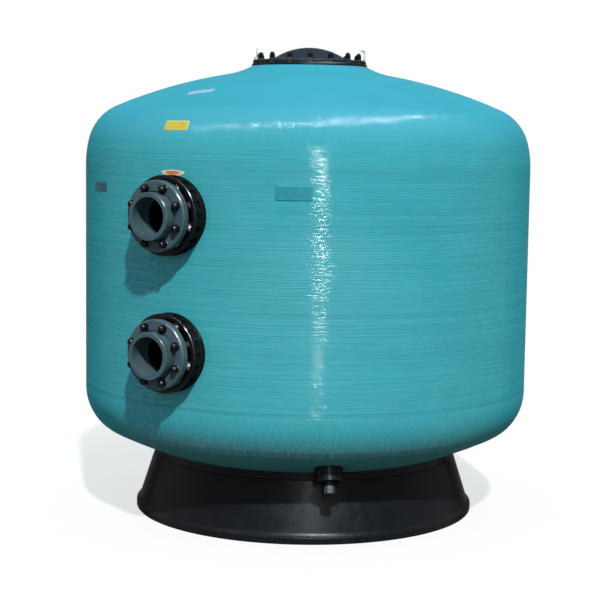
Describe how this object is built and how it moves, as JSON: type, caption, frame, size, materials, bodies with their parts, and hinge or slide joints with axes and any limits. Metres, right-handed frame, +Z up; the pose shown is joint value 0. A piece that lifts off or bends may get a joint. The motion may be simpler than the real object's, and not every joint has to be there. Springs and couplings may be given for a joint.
{
  "type": "sand filter",
  "caption": "Upright wound tank with a dished top and bottom on a round skirt, bolted lid, bolted pipe sockets one above the other and a screw drain; filters water through a sand bed.",
  "frame": {"origin": "on the floor, on the tank's upright axis, centre of the skirt's foot", "axes": "+Z up along the tank's axis, -Y out of the two ports"},
  "size_m": [1.6, 1.725, 1.669],
  "materials": {
    "turquoise_laminate": "glossy wound glass fibre laminate in turquoise",
    "black_gloss": "glossy moulded plastic",
    "black_plastic": "satin moulded plastic",
    "lid_black": "satin moulded plastic, blue-black",
    "grey_plastic": "satin grey plastic",
    "pale_plastic": "satin pale plastic",
    "rubber": "matt",
    "steel": "satin"
  },
  "bodies": {
    "filter": {"base_skirt": "black_gloss", "collector_hub": "black_plastic", "diffuser": "pale_plastic", "drain_body": "black_plastic", "drain_locknut": "black_plastic", "drain_seal": "rubber", "drain_strainer": "pale_plastic", "hub_leg": "pale_plastic", "inlet_elbow": "pale_plastic", "inlet_pipe": "pale_plastic", "inlet_riser": "pale_plastic", "laterals": "pale_plastic", "lid": "lid_black", "lid_gasket": "rubber", "lid_nuts": "black_plastic", "lid_studs": "steel", "lid_washers": "steel", "lifting_eyes": "steel", "lower_backing_ring": "grey_plastic", "lower_cap_nuts": "black_plastic", "lower_clamp_nuts": "steel", "lower_collar": "black_plastic", "lower_face_gasket": "rubber", "lower_inner_flange": "black_plastic", "lower_stub": "grey_plastic", "lower_studs": "steel", "lower_wall_gasket": "rubber", "lower_washers": "steel", "neck_ring": "black_plastic", "outlet_drop": "pale_plastic", "outlet_elbow": "pale_plastic", "outlet_pipe": "pale_plastic", "tank_bottom": "turquoise_laminate", "tank_crown": "turquoise_laminate", "tank_side": "turquoise_laminate", "upper_backing_ring": "grey_plastic", "upper_cap_nuts": "black_plastic", "upper_clamp_nuts": "steel", "upper_collar": "black_plastic", "upper_face_gasket": "rubber", "upper_inner_flange": "black_plastic", "upper_stub": "grey_plastic", "upper_studs": "steel", "upper_wall_gasket": "rubber", "upper_washers": "steel"},
    "cap_seat": {"drain_cap_seal": "rubber"},
    "cap": {"drain_cap": "black_plastic"},
    "plug_seat": {"drain_plug_seal": "rubber"},
    "plug": {"drain_plug": "grey_plastic"}
  },
  "joints": [
    {"name": "cap_travel", "type": "slide", "parent": "filter", "child": "cap_seat", "axis": [0.2537, -0.2971, -0.9205], "range_m": [0, 0.018]},
    {"name": "cap_turn", "type": "hinge", "parent": "cap_seat", "child": "cap", "pos_m": [0.40915, -0.47906, 0.26342], "axis": [0.2537, -0.2971, -0.9205], "range_deg": [0, 1079]},
    {"name": "plug_travel", "type": "slide", "parent": "cap", "child": "plug_seat", "axis": [0.2537, -0.2971, -0.9205], "range_m": [0, 0.012]},
    {"name": "plug_turn", "type": "hinge", "parent": "plug_seat", "child": "plug", "pos_m": [0.40915, -0.47906, 0.26342], "axis": [0.2537, -0.2971, -0.9205], "range_deg": [0, 2124]}
  ],
  "couplings": [
    {"joint": "cap_travel", "follows": "cap_turn", "m_per_rad": 0.00095493},
    {"joint": "plug_travel", "follows": "plug_turn", "m_per_rad": 0.00031831}
  ]
}
